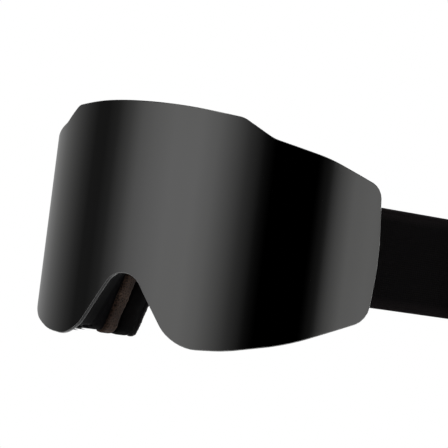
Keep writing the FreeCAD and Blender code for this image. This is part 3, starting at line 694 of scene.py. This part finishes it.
def webbing_section():
    """Strap section: flat faces, a shallow groove inside each selvedge, and rounded edges."""
    half = STRAP_WIDTH / 2
    wall = STRAP_WALL / 2
    edge = [(wall * 0.96, half - 2.2), (wall * 0.8, half - 1.75), (wall * 0.8, half - 1.55),
            (wall, half - 1.15), (wall, half - 0.6), (wall * 0.72, half - 0.16), (wall * 0.25, half)]
    upper = edge + [(-n, z) for n, z in reversed(edge)]
    inside = [(-wall * 0.96, z) for z in (12.0, 6.0, 0.0, -6.0, -12.0)]
    lower = [(-n, -z) for n, z in upper]
    outside = [(-n, z) for n, z in reversed(inside)]
    return [(n, z + STRAP_MID_Z) for n, z in upper + inside + lower + outside]


def arc_chord(from_turn, to_turn):
    """The chord of an arc of radius 1 that turns left from one heading to another."""
    return Vector((math.cos(to_turn) - math.cos(from_turn), math.sin(from_turn) - math.sin(to_turn)))


def strap_runs():
    """The band's runs, round the back of the head from the left side to the right."""
    c, s = math.cos(STRAP_FLARE), math.sin(STRAP_FLARE)
    turned = STRAP_CORNER_TURN - STRAP_FLARE
    inner = LAYER_MID - STRAP_WALL / 2
    start = Vector((BAR_X + inner * c + STRAP_SIDE_LENGTH * s, BAR_Y - inner * s + STRAP_SIDE_LENGTH * c))
    first = arc_chord(STRAP_FLARE, -turned)
    second = arc_chord(-turned, -math.pi / 2)
    gap = Vector((-start.x, STRAP_BACK_Y - start.y))
    det = first.x * second.y - first.y * second.x
    corner = (gap.x * second.y - gap.y * second.x) / det + STRAP_WALL / 2
    back = (first.x * gap.y - first.y * gap.x) / det + STRAP_WALL / 2
    sweep = math.pi / 2 - turned
    side_run = (STRAP_SIDE_LENGTH - REAR_START, 0.0)
    corner_run = (corner * STRAP_CORNER_TURN, -STRAP_CORNER_TURN)
    return [side_run, corner_run, (2 * back * sweep, -2 * sweep), corner_run, side_run]


def across(bm, side, name, material, slot, *nodes):
    """Finishes a piece drawn on the left side, mirrored if it belongs on the right."""
    if side < 0:
        bmesh.ops.transform(bm, matrix=Matrix.Scale(-1, 4, (1, 0, 0)), verts=bm.verts)
        bmesh.ops.recalc_face_normals(bm, faces=bm.faces)
    return finished(bm, name, material, slot, None, *nodes)


def strap_band():
    """The band, from the left lead's end round the head to the right one's."""
    start = beside_bar((LAYER_MID, REAR_START, 0.0, 0.0))
    stations = walk(start[:2], STRAP_FLARE, strap_runs(), BAND_STEP)
    finished(ribbon(stations, webbing_section()), "strap_webbing_band", WEBBING, "strap_webbing", "frame",
             "strap_band")


def grip_beads():
    """Three silicone beads along the inside of the band, round its back only. The first stands for all."""
    shift = STRAP_WALL / 2 + GRIP_WALL / 2
    start = beside_bar((LAYER_MID - STRAP_WALL / 2 - GRIP_WALL / 2, STRAP_SIDE_LENGTH, 0.0, 0.0))
    arcs = [(length - shift * abs(turn), turn) for length, turn in strap_runs()[1:4]]
    stations = walk(start[:2], STRAP_FLARE, arcs, BAND_STEP)
    bead = [(-0.5, 0.0), (-0.4, 0.55), (-0.1, 0.85), (0.45, 1.0), (0.45, -1.0), (-0.1, -0.85), (-0.4, -0.55)]
    for row, name in enumerate(("low", "middle", "high")):
        mid_z = STRAP_MID_Z + (row - 1) * GRIP_PITCH
        section = [(n * GRIP_WALL, mid_z + v * GRIP_WIDTH / 2) for n, v in bead]
        nodes = ("strap_grip_lines",) if row == 0 else ()
        finished(ribbon(stations, section), "grip_bead_" + name, SILICONE, "grip_silicone", "frame", *nodes)


def bend_between(piece, ends):
    """Bakes a strap piece's placement into its mesh."""
    for end in ends:
        x, y, heading, done = beside_bar((0.0, end, 0.0, 0.0))
    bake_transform(piece)


def hem_stitches():
    """Two rows of lockstitch through the hem that holds the slider's bar."""
    bm = bmesh.new()
    face_x = UNDER_MID - 2 * HEM_RADIUS - STRAP_WALL / 2
    shape = Matrix.Diagonal([size * MM for size in STITCH_SIZE] + [1])
    for row in STITCH_ROWS:
        x, y, heading, done = beside_bar((face_x, REAR_START + row, 0.0, 0.0))
        for i in range(STITCHES):
            z = STRAP_MID_Z + (i - STITCHES // 2) * STITCH_PITCH
            made = bmesh.ops.create_uvsphere(bm, u_segments=8, v_segments=5, radius=1.0)
            place = Matrix.Translation(Vector((x, y, z + climb(y))) * MM)
            bmesh.ops.transform(bm, matrix=place @ shape, verts=made["verts"])
    return bm


def leads_and_tails():
    """On each side, the doubled lead round the outrigger's bar and the hemmed tail round the slider's bar."""
    long_run = REAR_START - LEAD_TURN_Y
    lead = walk((LAYER_MID, REAR_START), math.pi,
                [(long_run, 0.0), (math.pi * LAYER_MID, math.pi), (LEAD_STRAIGHT, 0.0),
                 (LEAD_ARC, LEAD_ARC_TURN), (LEAD_SLOPE, 0.0), (LEAD_ARC, -LEAD_ARC_TURN),
                 (long_run - LEAD_DIP, 0.0)], LEAD_STEP)
    tail = walk((UNDER_MID, REAR_START), 0.0,
                [(SLIDER_MID + HEM_PAST - REAR_START, 0.0), (math.pi * HEM_RADIUS, -math.pi),
                 (SLIDER_MID - HEM_SHORT - REAR_START, 0.0)], LEAD_STEP)
    for side, hand in ((1, "left"), (-1, "right")):
        runs = ((lead, "lead", (hand + "_outrigger", "frame"), (0.0, REAR_START)),
                (tail, "tail", ("frame", hand + "_slider"), (REAR_START, REAR_START + 1.0)))
        for path, part, bodies, ends in runs:
            bm = ribbon([beside_bar(station) for station in path], webbing_section())
            piece = across(bm, side, f"{hand}_strap_{part}_webbing", WEBBING, "strap_webbing",
                           f"{hand}_strap_{part}")
            bend_between(piece, ends)
        stitches = across(hem_stitches(), side, hand + "_hem_stitches", THREAD, "strap_webbing")
        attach(stitches, hand + "_slider")


# ---- the pieces -------------------------------------------------------------------------------------
lens_sheet(bent_sheet(lens_corners(), LENS_RADIUS, LENS_WALL, ease_mm=0.35), "mirror_lens", MIRROR, TINTED,
           "mirror_lens", "outer_lens")
inner_corners = lens_corners(INNER_LENS_INSET, SIDE_OVERHANG)
lens_sheet(bent_sheet(inner_corners, INNER_LENS_RADIUS, INNER_LENS_WALL, ease_mm=0.15), "clear_inner_lens",
           CLEAR, CLEAR, "clear_lens", "inner_lens")

for node, finish in (("lens_carrier", NYLON), ("frame_rim", RIM_NYLON), ("face_frame", TPU),
                     ("left_outrigger_pin", STEEL), ("right_outrigger_pin", STEEL),
                     ("lens_magnets", NICKEL), ("frame_magnets", NICKEL)):
    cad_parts[node].data.materials[0] = finish
for hand in ("left", "right"):
    eased(hand + "_outrigger", hand + "_outrigger_moulding", NYLON, "outrigger_nylon", hand + "_outrigger",
          ease_mm=0.2)
    eased(hand + "_slider", hand + "_slider_moulding", ACETAL, "slider_acetal", hand + "_slider",
          ease_mm=0.25)

soft("foam_base", "open_cell_layer", OPEN_FOAM, "open_cell_foam", "frame",
     voxel_mm=1.3, rounding=1, rough_mm=0.12)
cushion_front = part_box("foam_cushion")[0].y + CUSHION_GLUE_DEPTH * MM
soft("foam_cushion", "soft_foam_layer", SOFT_FOAM, "soft_foam", "frame",
     voxel_mm=1.5, rounding=1, rough_mm=0.06, swell_mm=0.7,
     glued=glue_line(cushion_front, CUSHION_GLUE_RADIUS, reach=90.0))
soft("foam_fleece", "fleece_face", FLEECE, "fleece", "frame",
     voxel_mm=0.8, rounding=1, rough_mm=0.05, swell_mm=0.7,
     glued=glue_line(FLEECE_GLUE_Y * MM, FLEECE_GLUE_RADIUS, reach=100.0))
for place in ("top", "left", "right"):
    soft(place + "_vent_foam", place + "_vent_lining", VENT_FOAM, "vent_mesh", "frame",
         voxel_mm=0.6, rounding=1, rough_mm=0.08)
soft("lens_spacer_foam", "lens_spacer_tape", EVA, "spacer_foam", "lens",
     voxel_mm=0.8, rounding=0, rough_mm=0.03)

strap_band()
grip_beads()
leads_and_tails()


# ---- studio, in metres ------------------------------------------------------------------------------
STUDIO_MID = Vector((0, 0.06, 0))
FLOOR_RADIUS = 1.3
FLOOR_Z = -0.3
CAMERA_BEARING = math.radians(38.767)      # from straight ahead of the lens, to the wearer's left
CAMERA_ELEVATION = math.radians(-1.833)
CAMERA_ROLL = math.radians(7.197)
CAMERA_DISTANCE = 1.5
CAMERA_SHIFT = -0.023779                   # of the point it looks at, to its right of the lens's axis
CAMERA_LENS_MM = 275.83
CAMERA_SENSOR_MM = 36.0
ABOVE_PANELS = (0.06, 0.06, 0.06, 1.0)     # the studio's light over and under the panels
PANEL_EDGE_LOW = 0.14                      # the panels fade out between these slopes
PANEL_EDGE_HIGH = 0.3
# Tall soft panels with dark gaps between them: bearings in degrees from straight ahead of the lens, positive
# to the wearer's left, and the brightness at each.
PANELS = [(-180, 0.25), (-150, 0.32), (-125, 0.30), (-113, 0.28), (-101, 0.21), (-89, 0.125), (-81, 0.07),
          (-73, 0.032), (-65, 0.03), (-57, 0.055), (-48, 0.155), (-40, 0.29), (-32, 0.36), (-20, 0.43),
          (-6, 0.43), (3, 0.35), (11, 0.22), (19, 0.09), (27, 0.015), (32, 0.0), (54, 0.0), (60, 0.03),
          (66, 0.2), (73, 0.355), (84, 0.4), (110, 0.3), (140, 0.1)]


def studio_floor():
    """A pale round table top well below the goggles."""
    bm = bmesh.new()
    bmesh.ops.create_circle(bm, cap_ends=True, segments=96, radius=FLOOR_RADIUS)
    bmesh.ops.translate(bm, verts=bm.verts, vec=(STUDIO_MID.x, STUDIO_MID.y, FLOOR_Z))
    mesh = bpy.data.meshes.new("floor")
    bm.to_mesh(mesh)
    bm.free()
    made, tree, shader = new_material("pale_floor", Roughness=0.8)
    place = add(tree, "ShaderNodeTexCoord").outputs["Object"]
    grain = add(tree, "ShaderNodeTexNoise", {"Vector": place}, {"Scale": every(33.0), "Detail": 3.0})
    add(tree, "ShaderNodeValToRGB", {"Fac": grain.outputs["Fac"]},
        stops=shades((0.3, "#eeeeee"), (0.7, "#f0f0f0")), feeds=shader["Base Color"])
    mesh.materials.append(made)
    floor = bpy.data.objects.new("floor", mesh)
    bpy.context.scene.collection.objects.link(floor)


def studio_world():
    """A white backdrop, and round the goggles the panels that the lens mirrors."""
    world = bpy.data.worlds.new("studio")
    bpy.context.scene.world = world
    world.use_nodes = True
    tree = world.node_tree
    tree.nodes.clear()
    ray = add(tree, "ShaderNodeTexCoord").outputs["Generated"]
    toward = add(tree, "ShaderNodeSeparateXYZ", {"Vector": ray})
    ahead = add(tree, "ShaderNodeMath", {0: toward.outputs["Y"]}, {1: -1.0}, operation="MULTIPLY")
    bearing = add(tree, "ShaderNodeMath", {0: toward.outputs["X"], 1: ahead.outputs["Value"]},
                  operation="ARCTAN2")
    share = add(tree, "ShaderNodeMath", {0: bearing.outputs["Value"]}, {1: 1 / math.tau, 2: 0.5},
                operation="MULTIPLY_ADD")
    levels = [(degrees / 360 + 0.5, (level,) * 3 + (1.0,)) for degrees, level in PANELS]
    panels = add(tree, "ShaderNodeValToRGB", {"Fac": share.outputs["Value"]},
                 stops=levels + [(1.0, levels[0][1])])
    height = add(tree, "ShaderNodeMath", {0: toward.outputs["Z"]}, operation="ABSOLUTE")
    past = add(tree, "ShaderNodeMapRange", {"Value": height.outputs["Value"]},
               {"From Min": PANEL_EDGE_LOW, "From Max": PANEL_EDGE_HIGH})
    light = add(tree, "ShaderNodeMixRGB", {"Fac": past.outputs["Result"], "Color1": panels.outputs["Color"]},
                {"Color2": ABOVE_PANELS})
    seen = add(tree, "ShaderNodeLightPath").outputs["Is Camera Ray"]
    studio = add(tree, "ShaderNodeBackground", {"Color": light.outputs["Color"]}, {"Strength": 1.0})
    white = add(tree, "ShaderNodeBackground", (), {"Color": (1.0, 1.0, 1.0, 1.0), "Strength": 1.0})
    both = add(tree, "ShaderNodeMixShader",
               {"Fac": seen, 1: studio.outputs["Background"], 2: white.outputs["Background"]})
    add(tree, "ShaderNodeOutputWorld", {"Surface": both.outputs["Shader"]})


def softbox(name, bearing, elevation, distance, size, power):
    """A square soft light that looks at the goggles and isn't seen itself."""
    data = bpy.data.lights.new(name, "AREA")
    data.size = size
    data.energy = power
    light = bpy.data.objects.new(name, data)
    bpy.context.scene.collection.objects.link(light)
    turn, rise = math.radians(bearing), math.radians(elevation)
    toward = Vector((math.sin(turn) * math.cos(rise), -math.cos(turn) * math.cos(rise), math.sin(rise)))
    light.location = STUDIO_MID + toward * distance
    light.rotation_euler = toward.to_track_quat("Z", "Y").to_euler()
    light.visible_camera = False


def studio_camera():
    """Looks from the wearer's front left, a little from below, with the goggles leaning to the right."""
    right = Vector((math.cos(CAMERA_BEARING), math.sin(CAMERA_BEARING), 0))
    level = math.cos(CAMERA_ELEVATION)
    back = Vector((math.sin(CAMERA_BEARING) * level, -math.cos(CAMERA_BEARING) * level,
                   math.sin(CAMERA_ELEVATION)))
    up = back.cross(right)
    target = right * CAMERA_SHIFT + Vector((0, AXIS_Y * MM, 0))
    x_axis = right * math.cos(CAMERA_ROLL) + up * math.sin(CAMERA_ROLL)
    y_axis = up * math.cos(CAMERA_ROLL) - right * math.sin(CAMERA_ROLL)
    place = Matrix((x_axis, y_axis, back)).transposed().to_4x4()
    place.translation = target + back * CAMERA_DISTANCE
    data = bpy.data.cameras.new("camera")
    data.sensor_width = CAMERA_SENSOR_MM
    data.lens = CAMERA_LENS_MM
    data.clip_end = 20.0
    camera = bpy.data.objects.new("camera", data)
    bpy.context.scene.collection.objects.link(camera)
    camera.matrix_world = place
    bpy.context.scene.camera = camera


studio_floor()
studio_world()
softbox("overhead", bearing=185.0, elevation=64.0, distance=1.7, size=1.3, power=36.0)
softbox("front_top", bearing=-20.0, elevation=60.0, distance=1.7, size=1.0, power=7.0)
softbox("low_fill", bearing=150.0, elevation=-10.0, distance=1.6, size=0.8, power=3.0)
softbox("behind", bearing=180.0, elevation=14.0, distance=1.5, size=1.0, power=22.0)
studio_camera()
bpy.context.scene.view_settings.view_transform = "Standard"
